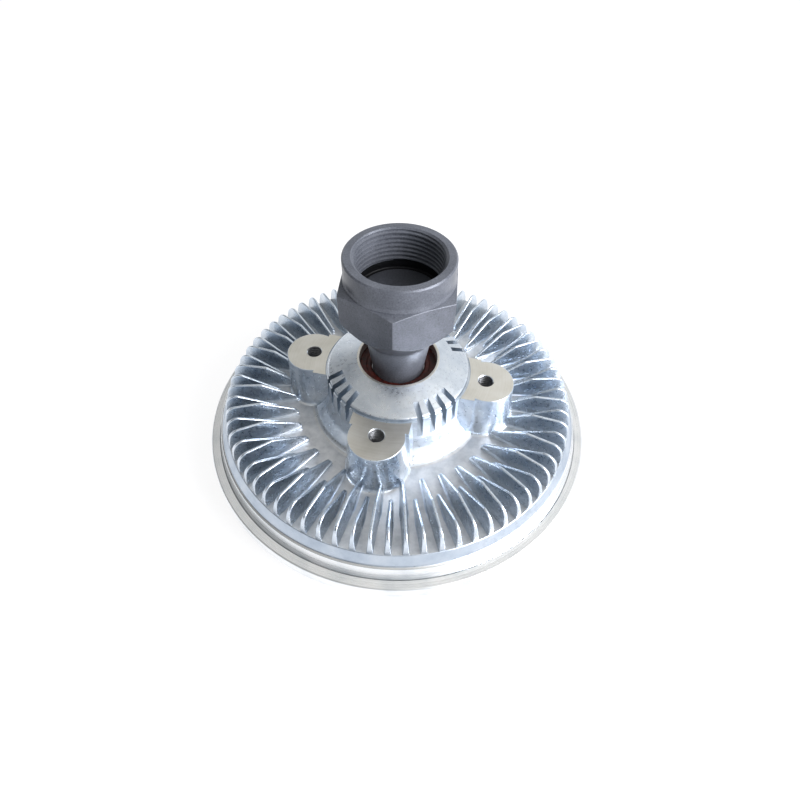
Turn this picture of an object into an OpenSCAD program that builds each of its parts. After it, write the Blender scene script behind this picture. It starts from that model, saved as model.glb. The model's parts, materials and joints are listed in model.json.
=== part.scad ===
// Viscous fan clutch: a finned housing that carries the fan turns on a double row bearing
// round a steel hub shaft whose hexagon nut screws onto the engine's fan drive.
// It stands on its front cover with the nut up. Sizes are in millimetres.

/* [Rim] */
// Height of the seam between front cover and housing above the resting face
seam_z = 26; // [25:0.5:32]
// Outer radius of the front cover
rim_r = 95.8; // [94.5:0.1:99]
// Width of the cover's rolled lip round the housing flange
lip_w = 3.8; // [3.4:0.1:4.4]
// Width of the housing flange
flange_w = 8.5; // [8.2:0.1:9.2]
// Thickness of the housing flange below the seam
flange_t = 3; // [2.5:0.1:3.4]
// Distance of the ledge on the housing rim from the flange's edge
ledge_w = 2.6; // [2:0.1:3.2]
// Height of that ledge above the seam
ledge_h = 6.3; // [5:0.1:7.5]

/* [Housing] */
// Height of the valley floor above the seam, at the collar
floor_in_h = 9.6; // [9:0.1:10.5]
// Height of the valley floor above the seam, at the fin feet
floor_out_h = 11.6; // [11:0.1:12.4]
// Width of the slope from the ledge to the valley floor
slope_w = 3.8; // [3.2:0.1:4.2]
// Height of the chamber ceiling above the seam
ceiling_h = 5.6; // [4.6:0.1:6]
// Height of the collar's crown above the seam
collar_h = 40; // [38:0.5:44]
// Radius of the collar's wall below its rounded shoulder
collar_r = 34; // [33.4:0.1:35.4]
// Radius of the shoulder's rounding
shoulder_r = 5; // [4:0.1:6]
// Slope of the collar's crown in degrees
crown_slope = 20.8; // [16:0.1:24]
// Radius of the opening in the collar
mouth_r = 18.2; // [17:0.1:19]
// Width of the level rim round that opening
mouth_w = 1; // [0.6:0.1:1.6]
// Radius of the collar's foot cone on the valley floor
foot_r = 41; // [39:0.1:43]
// Width of the flutes in the collar's shoulder
flute_w = 2.6; // [2:0.1:3.2]
// Radius of a flute's floor at the height of the fan seats
flute_r = 28.8; // [28:0.1:30]
// Lean of the flutes' floors in degrees
flute_lean = 28.3; // [25:0.1:31]
// Number of flutes between two bosses
flute_n = 4; // [2:1:4]
// Angle between two flutes
flute_step = 9.8; // [8:0.1:10]

/* [Fan bosses] */
// Radius of the fan bolt circle
bolt_pcr = 41.9; // [41:0.1:43]
// Angle of the first fan bolt
bolt_a = -12.1; // [-45:0.1:45]
// Height of the fan seats above the seam
seat_h = 33.2; // [31:0.1:35]
// Radius of the tapped hole in a boss
tap_r = 3.4; // [2.5:0.05:4]
// Depth of the tapped hole
tap_depth = 20; // [12:0.5:21]
// Radius of a boss at the fan seat
boss_r = 12.5; // [11.5:0.1:13.5]
// Draft of the boss walls in degrees
boss_draft = 4; // [2:0.5:5]

/* [Housing fins] */
// Number of long fins, with as many short ones between them
fin_pairs = 36; // [24:4:40]
// Height of the fins' level top above the seam
fin_h = 22; // [20:0.1:25]
// Radius of the inner end of a long fin
long_r = 51; // [49:0.1:53]
// Radius of the inner end of a short fin
short_r = 59.8; // [58:0.1:62]
// Length of a long fin's level top, up to the valley floor's edge
long_level = 18.6; // [14:0.1:21]
// Length of a short fin's level top, up to the valley floor's edge
short_level = 7.6; // [7:0.1:10]
// Slope of the fin tops in degrees
fin_rise = 27.6; // [20:0.1:30]
// Thickness of a fin at its top
fin_tip_w = 1.3; // [1.1:0.1:2]
// Thickness of a fin at its foot
fin_foot_w = 3.4; // [2.6:0.1:3.6]
// Radius of a fin's rounded outer corner
fin_round = 6; // [4:0.1:7]

/* [Hub shaft] */
// Height of the nut's top face above the seam
nut_h = 95; // [93:0.5:105]
// Width across the flats of the hexagon
nut_af = 46.5; // [45:0.5:48]
// Turn of the hexagon in degrees
nut_turn = -95; // [-120:0.5:-60]
// Depth of the hexagon's upper end below the nut's top
nut_collar_l = 10.2; // [9:0.1:11.4]
// Distance of the round collar's wall inside the flats
nut_collar_in = 0.65; // [0.5:0.05:1]
// Slope of the hexagon's upper chamfer in degrees
nut_chamfer = 14; // [10:0.5:20]
// Radius of the thread's bore
thread_r = 17.92; // [17:0.01:18.2]
// Length of the thread from the top face
thread_l = 15.2; // [14:0.1:16]
// Depth of the socket
socket_l = 19; // [18.4:0.1:20]
// Radius of the relief groove below the thread
relief_r = 19.3; // [18.8:0.1:19.8]
// Radius of the neck at the bearing
neck_r = 12.2; // [11.6:0.1:12.6]
// Radius of the neck at the lower end of the taper
taper_r = 15; // [14.4:0.1:15.6]
// Depth below the nut's top where the taper meets the corners
taper_d = 24.7; // [24:0.1:26]
// Angle of the taper to the axis in degrees
taper_slope = 38.7; // [36:0.1:42]

/* [Bearing] */
// Radius of the bearing's bore on the shaft
shaft_r = 10; // [9:0.1:10.4]
// Outer radius of the bearing
bearing_r = 23.5; // [23:0.1:25]
// Width of the outer ring
bearing_w = 20.6; // [20:0.1:21.6]
// Radius of a ball
ball_r = 3.6; // [3.3:0.05:3.7]
// Number of balls in a row
ball_n = 10; // [8:1:11]
// Thickness of a bearing seal
seal_t = 1; // [0.8:0.1:1.2]

/* [Rotor] */
// Gap round the rotor disc in the working chamber
rotor_gap = 1.1; // [0.7:0.1:1.8]
// Thickness of the rotor disc
rotor_t = 3.5; // [3:0.1:3.8]
// Depth of the disc's front face below the seam
rotor_d = 4.5; // [4.2:0.1:5]
// Radius of the rotor's hub
rotor_hub_r = 16; // [15:0.1:18]
// Distance of the outermost ring land from the rotor's edge
land_edge = 1.9; // [1.4:0.1:2.6]
// Distance from one land to the next on the same piece
land_pitch = 5; // [4.6:0.05:5]
// Thickness of a land
land_w = 2; // [1.4:0.1:2]
// Number of lands on each piece
land_n = 6; // [4:1:6]
// Gap between a land and the floor of its groove
land_gap = 0.8; // [0.5:0.1:1.2]

/* [Front cover] */
// Wall of the front cover
cover_t = 4; // [3.5:0.1:4.5]
// Depth of the plate seat below the seam
plate_seat_d = 8.9; // [8.7:0.1:9.4]
// Depth of the reservoir floor below the seam
reservoir_d = 17; // [16:0.1:17.4]
// Width of the seat that the plate rests on
plate_lap = 11; // [10:0.1:13]
// Radius of the well for the coil
well_r = 33; // [32:0.1:34]
// Depth of the well's floor below the seam
well_d = 16; // [15.8:0.1:16.4]
// Number of fins on the cover
cover_fin_n = 36; // [24:4:40]
// Thickness of a cover fin
cover_fin_w = 2.4; // [2:0.1:3]

/* [Valve] */
// Thickness of the separator plate
plate_t = 1.2; // [1:0.1:1.2]
// Distance of the separator plate's edge from the chamber wall
plate_edge = 3.5; // [3:0.1:4.2]
// Radius of the fill ports in the plate
port_r = 45; // [43:0.1:48]
// Distance of the rivets from the plate's edge
rivet_edge = 5; // [4:0.1:6]
// Radius of a plate rivet
rivet_r = 1.5; // [1.2:0.1:1.8]
// Number of plate rivets
rivet_n = 6; // [4:1:8]
// Radius of the valve shaft
valve_r = 4; // [3.6:0.1:4.4]
// Width of a fill port
port_w = 4; // [3:0.1:5]
// Width of the valve arm
arm_w = 9; // [7.5:0.1:10]
// Thickness of the valve arm
arm_t = 1; // [0.8:0.1:1]
// Thickness of the coil's strip
strip_t = 0.9; // [0.7:0.05:1]
// Width of the coil's strip
strip_w = 7; // [5:0.1:7.4]
// Radius of the coil's innermost turn
coil_r = 6.5; // [6:0.1:7]
// Distance between the coil's turns
coil_pitch = 3; // [2.6:0.05:3]
// Number of half turns of the coil
coil_halves = 12; // [8:2:12]

/* [Clearances] */
// Radial clearance of a seat that is fixed
fit = 0.02; // [0.01:0.01:0.05]
// Clearance beside a running seal or shaft
run = 0.25; // [0.2:0.05:0.3]

/* [Hidden] */
$fn = 96;

// Radii from the rim inwards
flange_r = rim_r - lip_w;
ledge_r = flange_r - ledge_w;
floor_r = ledge_r - slope_w;
chamber_r = flange_r - flange_w;
rotor_r = chamber_r - rotor_gap;
land_r = rotor_r - land_edge - land_w / 2 - (land_n - 0.5) * land_pitch;
plate_r = chamber_r - plate_edge;
rivet_pcr = plate_r - rivet_edge;
reservoir_r = plate_r - plate_lap;
long_knee_r = floor_r - long_level;
short_knee_r = floor_r - short_level;
// Heights in the standing frame
floor_in_z = seam_z + floor_in_h;
floor_out_z = seam_z + floor_out_h;
ceiling_z = seam_z + ceiling_h;
collar_z = seam_z + collar_h;
seat_z = seam_z + seat_h;
fin_z = seam_z + fin_h;
nut_z = seam_z + nut_h;
flange_z = seam_z - flange_t;
// Bearing below the collar's inner lip
lip_t = 4.5;
bearing_top = collar_z - lip_t;
bearing_bot = bearing_top - bearing_w;
bearing_mid = bearing_top - bearing_w / 2;
ball_pcr = (shaft_r + bearing_r) / 2;
row_z = ball_r + 0.4;
ball_gap = 0.02;
seal_in = 0.2;
seal_step = seal_t + seal_in;
inner_half = bearing_w / 2 - seal_step - 0.4;
inner_land_r = ball_pcr - 0.66 * ball_r;
outer_land_r = ball_pcr + 0.66 * ball_r;
seal_r = outer_land_r + 1.4;
// Circlips
clip_t = 1.6;
clip_bite = 1.2;
bearing_boss_z = bearing_bot - clip_t - 2.1;
shaft_clip_t = 1.2;
shaft_clip_bite = 1.4;
// Rotor
rotor_bot = seam_z - rotor_d;
rotor_top = rotor_bot + rotor_t;
rotor_hub_top = bearing_boss_z + 0.4;
shaft_end = rotor_bot - shaft_clip_t - 1.5;
// Front cover
seat_plate_z = seam_z - plate_seat_d;
plate_top = seat_plate_z + plate_t;
reservoir_z = seam_z - reservoir_d;
well_z = seam_z - well_d;
platform_z = well_z + cover_t;
skin_z = reservoir_z - cover_t;
// Valve
valve_boss_t = 1.2;
valve_boss_top = platform_z + 0.6;
valve_boss_bot = well_z - valve_boss_t;
bush_t = 2;
bush_l = 3;
ring_r = 0.6;
arm_top = seat_plate_z - 0.3;
arm_bot = arm_top - arm_t;
valve_head_r = valve_r + 2.5;
coil_top = valve_boss_bot - 0.4;
coil_bot = coil_top - strip_w;
coil_out_r = coil_r + coil_pitch * coil_halves / 2;
anchor_w = 6;
// Cover seal
seal_pcr = (chamber_r + flange_r) / 2 - 0.5;
seal_tube = 0.93;

// Shoulder of the collar: its rounding touches the wall and the sloping crown
shoulder_in = collar_r - shoulder_r;
shoulder_z = collar_z
    - (shoulder_r + (shoulder_in - mouth_r - mouth_w) * sin(crown_slope)) / cos(crown_slope);

// Hexagon outline
function hex(af, k) = af / 2 / cos(30) * [cos(60 * k), sin(60 * k)];

// Solid of revolution from points of radius and height
module turned(points) {
    rotate_extrude() polygon(points);
}

// Ring of rectangular section
module ring(r_in, r_out, z, h) {
    translate([0, 0, z]) difference() {
        cylinder(r = r_out, h = h);
        translate([0, 0, -1]) cylinder(r = r_in, h = h + 2);
    }
}

// Round rubber ring
module torus(r, tube, z) {
    translate([0, 0, z]) rotate_extrude() translate([r, 0]) circle(r = tube, $fn = 32);
}

// Quarter of a disc that rounds an outline's outer corner, above or below its centre
module corner_disc(r, side) {
    intersection() {
        circle(r = r);
        translate([0, side > 0 ? 0 : -r]) square(r);
    }
}

// Outline of a fin in radius and height, rounded at its outer corner
module fin_outline(r_in, knee_r) {
    lead = 2.4;
    lead_z = fin_z - (knee_r - r_in - lead) * tan(fin_rise);
    foot_z = floor_in_z - 1.5;
    out_r = floor_r - 1;
    corner_r = out_r - fin_round;
    polygon([
        [r_in - 0.4, foot_z],
        [r_in, lead_z - lead],
        [r_in + lead, lead_z],
        [knee_r, fin_z],
        [max(corner_r, knee_r), fin_z],
        [corner_r, fin_z - fin_round],
        [out_r, fin_z - fin_round],
        [floor_r - 0.3, floor_out_z],
        [floor_r - 0.3, foot_z]
    ]);
    translate([corner_r, fin_z - fin_round]) corner_disc(fin_round, 1);
}

// One wall with draft, along the radius
module fin_blade(r_in, r_out, foot_w, tip_w, z_foot, z_tip) {
    translate([r_in, 0, 0]) rotate([90, 0, 90]) linear_extrude(r_out - r_in) polygon([
        [-foot_w / 2, z_foot],
        [foot_w / 2, z_foot],
        [tip_w / 2, z_tip],
        [-tip_w / 2, z_tip]
    ]);
}

module housing_fins() {
    pitch = 360 / fin_pairs;
    intersection() {
        rotate_extrude() fin_outline(long_r, long_knee_r);
        for (k = [0 : fin_pairs - 1]) {
            rotate(bolt_a + (k + 0.5) * pitch)
                fin_blade(long_r - 2, rim_r, fin_foot_w, fin_tip_w, floor_in_z - 1, fin_z + 0.1);
        }
    }
    intersection() {
        rotate_extrude() fin_outline(short_r, short_knee_r);
        for (k = [0 : fin_pairs - 1]) {
            rotate(bolt_a + k * pitch)
                fin_blade(short_r - 2, rim_r, fin_foot_w, fin_tip_w, floor_in_z - 1, fin_z + 0.1);
        }
    }
}

// Fan boss: round drafted pillar and a slightly wider web to the collar
module boss() {
    boss_h = seat_z - floor_in_z + 1;
    web_w = 2 * boss_r + 1.6;
    web_spread = 2 * boss_h * tan(boss_draft);
    translate([bolt_pcr + 0.6, 0, floor_in_z - 1])
        cylinder(r1 = boss_r + boss_h * tan(boss_draft), r2 = boss_r, h = boss_h);
    fin_blade(bearing_r + 1, bolt_pcr - 3.5, web_w + web_spread, web_w, floor_in_z - 1, seat_z);
}

// Flute with a round floor that runs out down the collar's wall
module collar_flute() {
    down = (seat_z - floor_in_z - 8.4) / cos(flute_lean);
    translate([flute_r + flute_w / 2, 0, seat_z]) rotate([0, -flute_lean, 0]) translate([0, 0, -down]) {
        cylinder(r = flute_w / 2, h = down + 14);
        translate([0, -flute_w / 2, 0]) cube([12, flute_w, down + 14]);
    }
}

// Rotating housing with rim, valley floor, collar, bosses, fins and inner lands
module housing() {
    color("lightsteelblue") difference() {
        union() {
            turned(concat([
                [mouth_r - 1, bearing_boss_z],
                [bearing_r + 6.5, bearing_boss_z],
                [foot_r - 1, ceiling_z],
                [chamber_r, ceiling_z],
                [chamber_r, flange_z],
                [flange_r - fit, flange_z],
                [flange_r - fit, seam_z - 1.3],
                [flange_r - 0.75, seam_z - 0.1],
                [ledge_r + 0.5, seam_z + ledge_h - 1],
                [ledge_r, seam_z + ledge_h],
                [ledge_r - 1, seam_z + ledge_h + 0.4],
                [floor_r + 0.9, floor_out_z - 0.8],
                [floor_r, floor_out_z],
                [foot_r + 2, floor_in_z],
                [foot_r, floor_in_z + 0.8],
                [collar_r + 2, floor_in_z + 7.4],
                [collar_r + 0.7, floor_in_z + 11]
            ], [for (k = [0 : 6]) [
                shoulder_in + shoulder_r * cos(k / 6 * (90 - crown_slope)),
                shoulder_z + shoulder_r * sin(k / 6 * (90 - crown_slope))
            ]], [
                [mouth_r + mouth_w, collar_z],
                [mouth_r - 1, collar_z]
            ]));
            for (k = [0 : 3]) {
                rotate(bolt_a + 90 * k) boss();
            }
            housing_fins();
            for (k = [0 : land_n - 1]) {
                ring(land_r + k * land_pitch - land_w / 2, land_r + k * land_pitch + land_w / 2,
                    rotor_top + land_gap, ceiling_z - rotor_top - land_gap + 1);
            }
        }
        translate([0, 0, bearing_boss_z - 1])
            cylinder(r = bearing_r + fit, h = bearing_top - bearing_boss_z + 1);
        translate([0, 0, bearing_top - 1]) cylinder(r = mouth_r, h = lip_t + 2);
        translate([0, 0, bearing_bot - clip_t - 0.1])
            cylinder(r = bearing_r + clip_bite, h = clip_t + 0.1);
        for (k = [0 : 3]) {
            rotate(bolt_a + 90 * k) translate([bolt_pcr, 0, 0]) {
                translate([0, 0, seat_z - tap_depth]) cylinder(r = tap_r, h = tap_depth + 1);
                translate([0, 0, seat_z - 0.6]) cylinder(r1 = tap_r, r2 = tap_r + 0.6, h = 0.6);
            }
            rotate(bolt_a + 90 * k + 45) for (j = [0 : flute_n - 1]) {
                rotate((j - (flute_n - 1) / 2) * flute_step) collar_flute();
            }
        }
    }
}

module cover_fin_outline() {
    out_r = rim_r - 4;
    round_r = 9;
    polygon([
        [well_r + 2, 0],
        [out_r - round_r, 0],
        [out_r - round_r, round_r],
        [out_r, round_r],
        [out_r, flange_z - 3],
        [chamber_r + 4, flange_z - 3],
        [chamber_r + 1, seat_plate_z - cover_t / 2],
        [reservoir_r + cover_t - 1, seat_plate_z - cover_t / 2],
        [reservoir_r + cover_t - 3, reservoir_z - cover_t / 2],
        [well_r + 2, reservoir_z - cover_t / 2]
    ]);
    translate([out_r - round_r, round_r]) corner_disc(round_r, -1);
}

// Skin of the cover in radius and height: inside wall first, then the outside
module cover_skin() {
    out_z = flange_z - 5;
    seat_out_z = seat_plate_z - cover_t;
    turned([
        [0, platform_z],
        [well_r - 3, platform_z],
        [well_r + 3.5, reservoir_z],
        [reservoir_r - 2, reservoir_z],
        [reservoir_r, seat_plate_z],
        [plate_r + run, seat_plate_z],
        [plate_r + run, plate_top + 0.6],
        [chamber_r, plate_top + 0.6],
        [chamber_r, flange_z],
        [flange_r, flange_z],
        [flange_r, seam_z - 1.3],
        [flange_r - 0.65, seam_z],
        [rim_r - 1, seam_z],
        [rim_r, seam_z - 1],
        [rim_r, out_z + 1],
        [rim_r - 1, out_z],
        [chamber_r + 4, out_z],
        [chamber_r + 0.5, seat_out_z],
        [reservoir_r + cover_t, seat_out_z],
        [reservoir_r + cover_t - 2, skin_z],
        [well_r + 3.5, skin_z],
        [well_r + 3.5, 0],
        [well_r, 0],
        [well_r, well_z],
        [0, well_z]
    ]);
}

// Post beside the coil that holds its outer end
module coil_anchor() {
    anchor_x = coil_out_r + strip_t + 1.6;
    difference() {
        translate([anchor_x, -(anchor_w + strip_t) / 2, coil_bot])
            cube([well_r - anchor_x + 1, anchor_w, well_z - coil_bot + 0.5]);
        translate([anchor_x - 1, -strip_t - 0.1, coil_bot - 1])
            cube([well_r - anchor_x - 0.8, strip_t + 0.2, strip_w + 1.1]);
    }
}

// Cast front cover with fins, fluid reservoir and the well for the bimetal coil
module front_cover() {
    color("silver") difference() {
        union() {
            cover_skin();
            translate([0, 0, valve_boss_bot])
                cylinder(r = valve_r + bush_t + 3, h = valve_boss_top - valve_boss_bot);
            coil_anchor();
            intersection() {
                rotate_extrude() cover_fin_outline();
                for (k = [0 : cover_fin_n - 1]) {
                    rotate(bolt_a + k * 360 / cover_fin_n)
                        fin_blade(well_r + 1, rim_r, cover_fin_w, cover_fin_w + 1, -0.1, flange_z);
                }
            }
        }
        translate([0, 0, flange_z - 2 * seal_tube - 0.04])
            ring(seal_pcr - seal_tube - 0.15, seal_pcr + seal_tube + 0.15, 0, 4);
        translate([0, 0, valve_boss_bot - 1])
            cylinder(r = valve_r + 0.05, h = valve_boss_top - valve_boss_bot + 2);
        translate([0, 0, valve_boss_bot - 1]) cylinder(r = valve_r + bush_t + fit, h = bush_l + 1);
        for (k = [0 : rivet_n - 1]) {
            rotate(k * 360 / rivet_n) translate([rivet_pcr, 0, seat_plate_z - 3])
                cylinder(r = rivet_r + fit, h = 4);
        }
    }
}

// Ring seal in the groove of the cover's flange
module cover_seal() {
    color("dimgray") torus(seal_pcr, seal_tube, flange_z - seal_tube - 0.02);
}

// Forged hub: hexagon nut, tapered neck and bearing shaft in one piece
module hub_shaft() {
    hex_top = nut_z - nut_collar_l;
    corner_r = nut_af / 2 / cos(30);
    collar_out = nut_af / 2 - nut_collar_in;
    chamfer_in = nut_af / 2 - 0.6;
    neck_z = bearing_top + 0.5;
    corner_z = nut_z - taper_d;
    taper_z = corner_z - (corner_r - taper_r) / tan(taper_slope);
    socket_z = nut_z - socket_l;
    color("slategray") difference() {
        union() {
            intersection() {
                translate([0, 0, seam_z]) rotate(nut_turn) linear_extrude(hex_top - seam_z)
                    polygon([for (k = [0 : 5]) hex(nut_af, k)]);
                turned([
                    [0, neck_z],
                    [neck_r, neck_z],
                    [taper_r, taper_z],
                    [corner_r + 1, corner_z + 1 / tan(taper_slope)],
                    [corner_r + 1, hex_top - (corner_r + 1 - chamfer_in) * tan(nut_chamfer)],
                    [chamfer_in, hex_top],
                    [0, hex_top]
                ]);
            }
            turned([
                [0, hex_top - 1],
                [collar_out + 0.4, hex_top - 1],
                [collar_out + 0.4, hex_top + 0.3],
                [collar_out, hex_top + 1.7],
                [collar_out, nut_z - 0.6],
                [collar_out - 0.6, nut_z],
                [0, nut_z]
            ]);
            translate([0, 0, bearing_mid + inner_half])
                cylinder(r = neck_r, h = neck_z + 1 - bearing_mid - inner_half);
            translate([0, 0, shaft_end + 0.8])
                cylinder(r = shaft_r, h = bearing_mid + inner_half - shaft_end);
            translate([0, 0, shaft_end]) cylinder(r1 = shaft_r - 0.8, r2 = shaft_r, h = 0.8);
        }
        translate([0, 0, socket_z]) cylinder(r = thread_r, h = socket_l + 1);
        translate([0, 0, nut_z - 1.2]) cylinder(r1 = thread_r, r2 = thread_r + 1.2, h = 1.2);
        ring(thread_r - 0.7, relief_r, socket_z - 0.7, socket_l - thread_l + 0.7);
        translate([0, 0, rotor_bot - shaft_clip_t - 0.1])
            ring(shaft_r - shaft_clip_bite, shaft_r + 2, 0, shaft_clip_t + 0.1);
    }
}

// Torus shaped track that the balls of one row run in
module ball_track(z) {
    translate([0, 0, z]) rotate_extrude() translate([ball_pcr, 0]) circle(r = ball_r + ball_gap);
}

module bearing_outer_ring() {
    color("gainsboro") difference() {
        ring(outer_land_r, bearing_r, bearing_bot, bearing_w);
        ball_track(bearing_mid + row_z);
        ball_track(bearing_mid - row_z);
        translate([0, 0, bearing_top - seal_step]) cylinder(r = seal_r, h = seal_step + 1);
        translate([0, 0, bearing_bot - 1]) cylinder(r = seal_r, h = seal_step + 1);
    }
}

module bearing_inner_ring() {
    color("whitesmoke") difference() {
        ring(shaft_r + fit, inner_land_r, bearing_mid - inner_half, 2 * inner_half);
        ball_track(bearing_mid + row_z);
        ball_track(bearing_mid - row_z);
    }
}

// Two rows of balls
module bearing_balls() {
    color("lightgray") for (side = [-1, 1]) {
        for (k = [0 : ball_n - 1]) {
            rotate((k + side / 4) * 360 / ball_n)
                translate([ball_pcr, 0, bearing_mid + side * row_z]) sphere(r = ball_r);
        }
    }
}

// One crown shaped cage for each row
module bearing_cages() {
    cage_w = 1.6;
    cage_l = ball_r + 1.9;
    color("tan") for (side = [-1, 1]) {
        difference() {
            ring(ball_pcr - cage_w / 2, ball_pcr + cage_w / 2,
                bearing_mid + side * row_z - (side > 0 ? 0.8 : cage_l - 0.8), cage_l);
            for (k = [0 : ball_n - 1]) {
                rotate((k + side / 4) * 360 / ball_n)
                    translate([ball_pcr, 0, bearing_mid + side * row_z]) sphere(r = ball_r + 0.1);
            }
        }
    }
}

// Rubber seal seen between neck and collar
module bearing_seal_rear() {
    color("brown") ring(neck_r + run, seal_r - fit, bearing_top - seal_step, seal_t);
}

module bearing_seal_front() {
    color("brown") ring(neck_r + run, seal_r - fit, bearing_bot + seal_in, seal_t);
}

// Snap ring below the bearing, open at its ends
module bearing_circlip() {
    color("darkgray") difference() {
        ring(bearing_r - 2.2, bearing_r + clip_bite - 0.1, bearing_bot - clip_t, clip_t);
        rotate(30) translate([bearing_r - 5, -3, bearing_bot - clip_t - 1]) cube([10, 6, clip_t + 2]);
    }
}

// Rotor disc with ring lands and passages for the fluid
module rotor() {
    color("burlywood") difference() {
        union() {
            turned([
                [0, rotor_bot],
                [rotor_r, rotor_bot],
                [rotor_r, rotor_top],
                [rotor_hub_r + 6, rotor_top],
                [rotor_hub_r, rotor_top + 3],
                [rotor_hub_r, rotor_hub_top - 1],
                [rotor_hub_r - 1, rotor_hub_top],
                [0, rotor_hub_top]
            ]);
            translate([0, 0, rotor_hub_top - 1])
                cylinder(r = neck_r, h = bearing_mid - inner_half - rotor_hub_top + 1);
            for (k = [0 : land_n - 1]) {
                ring(land_r + (k + 0.5) * land_pitch - land_w / 2,
                    land_r + (k + 0.5) * land_pitch + land_w / 2,
                    rotor_top - 1, ceiling_z - land_gap - rotor_top + 1);
            }
        }
        translate([0, 0, rotor_bot - 1]) cylinder(r = shaft_r + fit, h = bearing_top);
        for (k = [0 : 3]) {
            rotate(45 + 90 * k) translate([port_r, 0, rotor_bot - 1]) cylinder(r = 3.5, h = rotor_t + 2);
        }
    }
}

// Snap ring on the shaft's end below the rotor
module rotor_circlip() {
    color("darkgray") difference() {
        ring(shaft_r - shaft_clip_bite + 0.05, shaft_r + 2.2, rotor_bot - shaft_clip_t, shaft_clip_t);
        rotate(30) translate([shaft_r - 3, -2.5, rotor_bot - shaft_clip_t - 1])
            cube([8, 5, shaft_clip_t + 2]);
    }
}

// Plate between reservoir and working chamber, with two fill ports and two return holes
module separator_plate() {
    color("lightyellow") difference() {
        translate([0, 0, seat_plate_z]) cylinder(r = plate_r, h = plate_t);
        for (side = [0, 1]) {
            rotate(180 * side) translate([port_r, 0, seat_plate_z - 1]) {
                translate([0, -2.5, 0]) cylinder(r = port_w / 2, h = plate_t + 2);
                translate([0, 2.5, 0]) cylinder(r = port_w / 2, h = plate_t + 2);
                translate([-port_w / 2, -2.5, 0]) cube([port_w, 5, plate_t + 2]);
            }
            rotate(90 + 180 * side) translate([reservoir_r - 4, 0, seat_plate_z - 1])
                cylinder(r = rivet_r, h = plate_t + 2);
        }
        for (k = [0 : rivet_n - 1]) {
            rotate(k * 360 / rivet_n) translate([rivet_pcr, 0, seat_plate_z - 1])
                cylinder(r = rivet_r + fit, h = plate_t + 2);
        }
    }
}

module separator_rivets() {
    color("gray") for (k = [0 : rivet_n - 1]) {
        rotate(k * 360 / rivet_n) translate([rivet_pcr, 0, 0]) {
            translate([0, 0, seat_plate_z - 2.8]) cylinder(r = rivet_r, h = 2.9 + plate_t);
            translate([0, 0, plate_top]) cylinder(r1 = 1.7 * rivet_r, r2 = 1.3 * rivet_r, h = 0.6 * rivet_r);
        }
    }
}

// Bronze bush that guides the valve shaft
module valve_bushing() {
    color("goldenrod") ring(valve_r + 0.03, valve_r + bush_t, valve_boss_bot, bush_l);
}

// Valve shaft: slotted end for the coil, seal groove, head and tenon for the arm
module valve_shaft() {
    groove_z = valve_boss_bot + bush_l + 0.5;
    color("lightslategray") difference() {
        union() {
            translate([0, 0, coil_bot - 0.4]) cylinder(r = valve_r, h = valve_boss_top - coil_bot + 0.6);
            translate([0, 0, valve_boss_top + 0.2])
                cylinder(r = valve_head_r, h = arm_bot - valve_boss_top - 0.2);
            translate([0, 0, arm_bot - 0.5]) cylinder(r = valve_r - 1, h = arm_t + 0.5);
        }
        translate([0, 0, groove_z])
            ring(valve_r - 2 * ring_r + 0.02, valve_r + 1, 0, 2 * ring_r + 0.1);
        translate([-valve_r - 1, -strip_t / 2 - 0.1, coil_bot - 1])
            cube([2 * valve_r + 2, strip_t + 0.2, strip_w + 1.1]);
    }
}

// Two ended arm that covers the fill ports
module valve_arm() {
    color("khaki") difference() {
        union() {
            translate([-port_r, -arm_w / 2, arm_bot]) cube([2 * port_r, arm_w, arm_t]);
            for (side = [-1, 1]) {
                translate([side * port_r, 0, arm_bot]) cylinder(r = arm_w / 2 + 1.2, h = arm_t);
            }
            translate([0, 0, arm_bot]) cylinder(r = valve_head_r + 1.5, h = arm_t);
        }
        translate([0, 0, arm_bot - 1]) cylinder(r = valve_r - 1 + fit, h = arm_t + 2);
    }
}

module valve_oring() {
    color("black") torus(valve_r - ring_r + 0.03, ring_r, valve_boss_bot + bush_l + 0.55 + ring_r);
}

// Half of a turn of the coil's strip
module coil_half(r, side) {
    intersection() {
        ring(r, r + strip_t, coil_bot, strip_w);
        translate([-2 * well_r, side > 0 ? 0 : -2 * well_r, coil_bot - 1])
            cube([4 * well_r, 2 * well_r, strip_w + 2]);
    }
}

// Spiral of half circles on two centres, with a tab in the shaft and one at the anchor
module bimetal_coil() {
    step = coil_pitch / 2;
    color("peru") {
        for (k = [0 : coil_halves - 1]) {
            translate([k % 2 == 0 ? 0 : step, 0, 0]) coil_half(coil_r + k * step, k % 2 == 0 ? 1 : -1);
        }
        translate([-valve_r + 0.2, -strip_t / 2, coil_bot])
            cube([coil_r + valve_r + strip_t - 0.2, strip_t, strip_w]);
        translate([coil_out_r, -strip_t, coil_bot]) cube([well_r - coil_out_r - 2.4, strip_t, strip_w]);
    }
}

housing();
front_cover();
cover_seal();
hub_shaft();
bearing_outer_ring();
bearing_inner_ring();
bearing_balls();
bearing_cages();
bearing_seal_rear();
bearing_seal_front();
bearing_circlip();
rotor();
rotor_circlip();
separator_plate();
separator_rivets();
valve_bushing();
valve_shaft();
valve_arm();
valve_oring();
bimetal_coil();
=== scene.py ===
# %% [markdown]
# # A viscous fan clutch
#
# This clutch sits between an engine and its cooling fan. A forged hub screws onto the
# fan drive, and a finned aluminium housing carries the fan on four bosses.
# The CAD model already gives every piece its size and its place. In this lesson we make
# the pieces that the eye sees look cast, turned and forged, and we give each of the
# hidden ones a fitting finish.

import json
import math

import bmesh
import bpy
from mathutils import Matrix, Vector

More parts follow.
